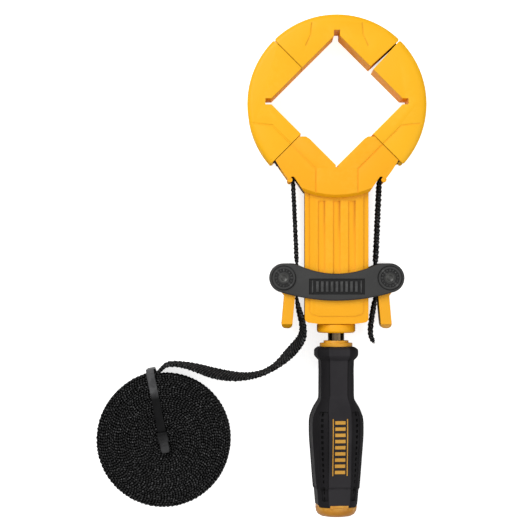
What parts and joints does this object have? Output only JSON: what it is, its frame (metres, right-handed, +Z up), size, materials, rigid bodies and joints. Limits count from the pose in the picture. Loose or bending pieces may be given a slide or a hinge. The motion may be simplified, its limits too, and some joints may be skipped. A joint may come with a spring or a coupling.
{
  "type": "ratchet band clamp",
  "caption": "Ratchet band clamp: four V jaws in a ring on a webbing band, drawn tight by a screw handle and a cam-lever yoke, with the spare band in a tied roll.",
  "frame": {"origin": "on the table under the middle of the tool's length, on the screw's line; the roll of spare band and its free stretch are left out of this", "axes": "+Y along the tool from the handle to the ring of jaws, +Z up off the table through the jaws' thickness, +X across the tool to the right seen from above, with the roll of spare band on the -X side"},
  "size_m": [0.2072, 0.316, 0.037],
  "materials": {
    "yellow_plastic": "warm yellow moulded plastic",
    "grey_plastic": "dark grey textured plastic",
    "black_rubber": "black soft grip",
    "dark_steel": "dark plated steel",
    "bright_steel": "bright steel",
    "bronze": "bronze",
    "webbing": "black woven nylon webbing",
    "nylon_tie": "dark grey moulded nylon"
  },
  "bodies": {
    "head": {"front_housing": "yellow_plastic", "rear_housing": "yellow_plastic", "housing_screw_1": "dark_steel", "housing_screw_2": "dark_steel", "housing_screw_3": "dark_steel", "housing_screw_4": "dark_steel", "housing_screw_5": "dark_steel", "housing_screw_6": "dark_steel", "top_bush": "bronze", "thrust_washer": "bright_steel", "bottom_collar": "yellow_plastic", "band_left_run": "webbing", "band_right_run": "webbing", "band_free_length": "webbing", "band_roll": "webbing", "roll_tie": "nylon_tie"},
    "handle": {"lead_screw": "dark_steel", "handle_core": "yellow_plastic", "handle_grip": "black_rubber", "handle_pin": "bright_steel"},
    "yoke": {"travelling_nut": "bronze", "yoke_front_plate": "grey_plastic", "yoke_rear_plate": "grey_plastic", "left_pivot_pin": "bright_steel", "right_pivot_pin": "bright_steel", "left_lever_spring": "bright_steel", "right_lever_spring": "bright_steel", "band_in_left_cam": "webbing", "band_in_right_cam": "webbing", "band_tail_end": "webbing"},
    "left_lever": {"left_cam_lever": "yellow_plastic"},
    "right_lever": {"right_cam_lever": "yellow_plastic"},
    "left_jaw_body": {"left_jaw": "yellow_plastic", "band_on_left_jaw": "webbing"},
    "top_jaw_body": {"top_jaw": "yellow_plastic", "band_on_top_jaw": "webbing"},
    "right_jaw_body": {"right_jaw": "yellow_plastic", "band_on_right_jaw": "webbing"}
  },
  "joints": [
    {"name": "handle_turn", "type": "hinge", "parent": "head", "child": "handle", "pos_m": [0, -0.0418, 0.0185], "axis": [0, -1, 0], "range_deg": [-1081, 4441]},
    {"name": "yoke_slide", "type": "slide", "parent": "head", "child": "yoke", "axis": [0, 1, 0], "range_m": [-0.009, 0.037], "deforming": ["band_left_run", "band_right_run", "band_free_length"]},
    {"name": "left_lever_pivot", "type": "hinge", "parent": "yoke", "child": "left_lever", "pos_m": [-0.0332, -0.00695, 0.0185], "axis": [0, 0, -1], "range_deg": [0, 60], "stiffness_Nm_per_rad": 0.06, "springref_deg": -17.19},
    {"name": "right_lever_pivot", "type": "hinge", "parent": "yoke", "child": "right_lever", "pos_m": [0.0332, -0.00695, 0.0185], "axis": [0, 0, 1], "range_deg": [0, 60], "stiffness_Nm_per_rad": 0.06, "springref_deg": -17.19},
    {"name": "left_jaw_slide", "type": "slide", "parent": "head", "child": "left_jaw_body", "axis": [-0.7071, 0.7071, 0], "range_m": [0, 0.012]},
    {"name": "top_jaw_slide", "type": "slide", "parent": "left_jaw_body", "child": "top_jaw_body", "axis": [0.7071, 0.7071, 0], "range_m": [0, 0.012]},
    {"name": "right_jaw_slide", "type": "slide", "parent": "top_jaw_body", "child": "right_jaw_body", "axis": [0.7071, -0.7071, 0], "range_m": [0, 0.012]}
  ],
  "couplings": [
    {"joint": "handle_turn", "follows": "yoke_slide", "rad_per_m": 2094.4},
    {"joint": "top_jaw_slide", "follows": "left_jaw_slide", "ratio": 1},
    {"joint": "right_jaw_slide", "follows": "left_jaw_slide", "ratio": 1}
  ]
}
